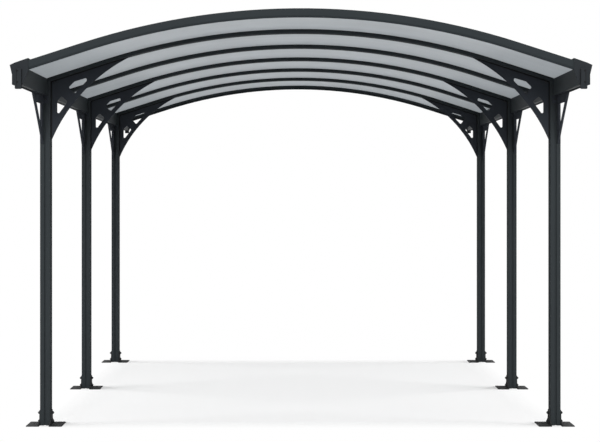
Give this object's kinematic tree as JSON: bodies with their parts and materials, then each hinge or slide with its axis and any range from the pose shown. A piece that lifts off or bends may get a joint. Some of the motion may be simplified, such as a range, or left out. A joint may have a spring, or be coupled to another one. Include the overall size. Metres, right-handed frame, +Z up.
{
  "type": "carport",
  "caption": "Free-standing open carport: dark aluminium posts on bolted feet carry side gutters and an arched roof of translucent panels between ribs.",
  "frame": {"origin": "on the floor under the middle of the roof", "axes": "+X across the carport to the right as seen from the front, +Y along it from front to back, +Z up"},
  "size_m": [3.531, 4.232, 2.5808],
  "materials": {
    "frame_coating": "dark anthracite powder coat, fine texture, satin",
    "bracket_coating": "dark anthracite powder coat on cut plate, satin",
    "foot_coating": "dark anthracite powder coat on bent steel, satin",
    "cap_plastic": "moulded anthracite plastic, fine grain",
    "roof_sheet": "translucent grey multiwall sheet, faint flutes across the roof"
  },
  "bodies": {
    "root": {"post_left_front": "frame_coating", "foot_brackets_left_front": "foot_coating", "arch_bracket_left_front": "bracket_coating", "eave_brackets_left_front": "bracket_coating", "post_right_front": "frame_coating", "foot_brackets_right_front": "foot_coating", "arch_bracket_right_front": "bracket_coating", "eave_brackets_right_front": "bracket_coating", "post_left_middle": "frame_coating", "foot_brackets_left_middle": "foot_coating", "arch_bracket_left_middle": "bracket_coating", "eave_brackets_left_middle": "bracket_coating", "post_right_middle": "frame_coating", "foot_brackets_right_middle": "foot_coating", "arch_bracket_right_middle": "bracket_coating", "eave_brackets_right_middle": "bracket_coating", "post_left_back": "frame_coating", "foot_brackets_left_back": "foot_coating", "arch_bracket_left_back": "bracket_coating", "eave_brackets_left_back": "bracket_coating", "post_right_back": "frame_coating", "foot_brackets_right_back": "foot_coating", "arch_bracket_right_back": "bracket_coating", "eave_brackets_right_back": "bracket_coating", "gutter_left": "frame_coating", "gutter_cap_left_front": "cap_plastic", "gutter_cap_left_back": "cap_plastic", "gutter_right": "frame_coating", "gutter_cap_right_front": "cap_plastic", "gutter_cap_right_back": "cap_plastic", "front_fascia": "frame_coating", "back_fascia": "frame_coating", "roof_rib_1": "frame_coating", "roof_rib_2": "frame_coating", "roof_rib_3": "frame_coating", "roof_rib_4": "frame_coating", "roof_rib_5": "frame_coating", "roof_panel_1": "roof_sheet", "roof_panel_2": "roof_sheet", "roof_panel_3": "roof_sheet", "roof_panel_4": "roof_sheet", "roof_panel_5": "roof_sheet", "roof_panel_6": "roof_sheet"}
  },
  "joints": []
}
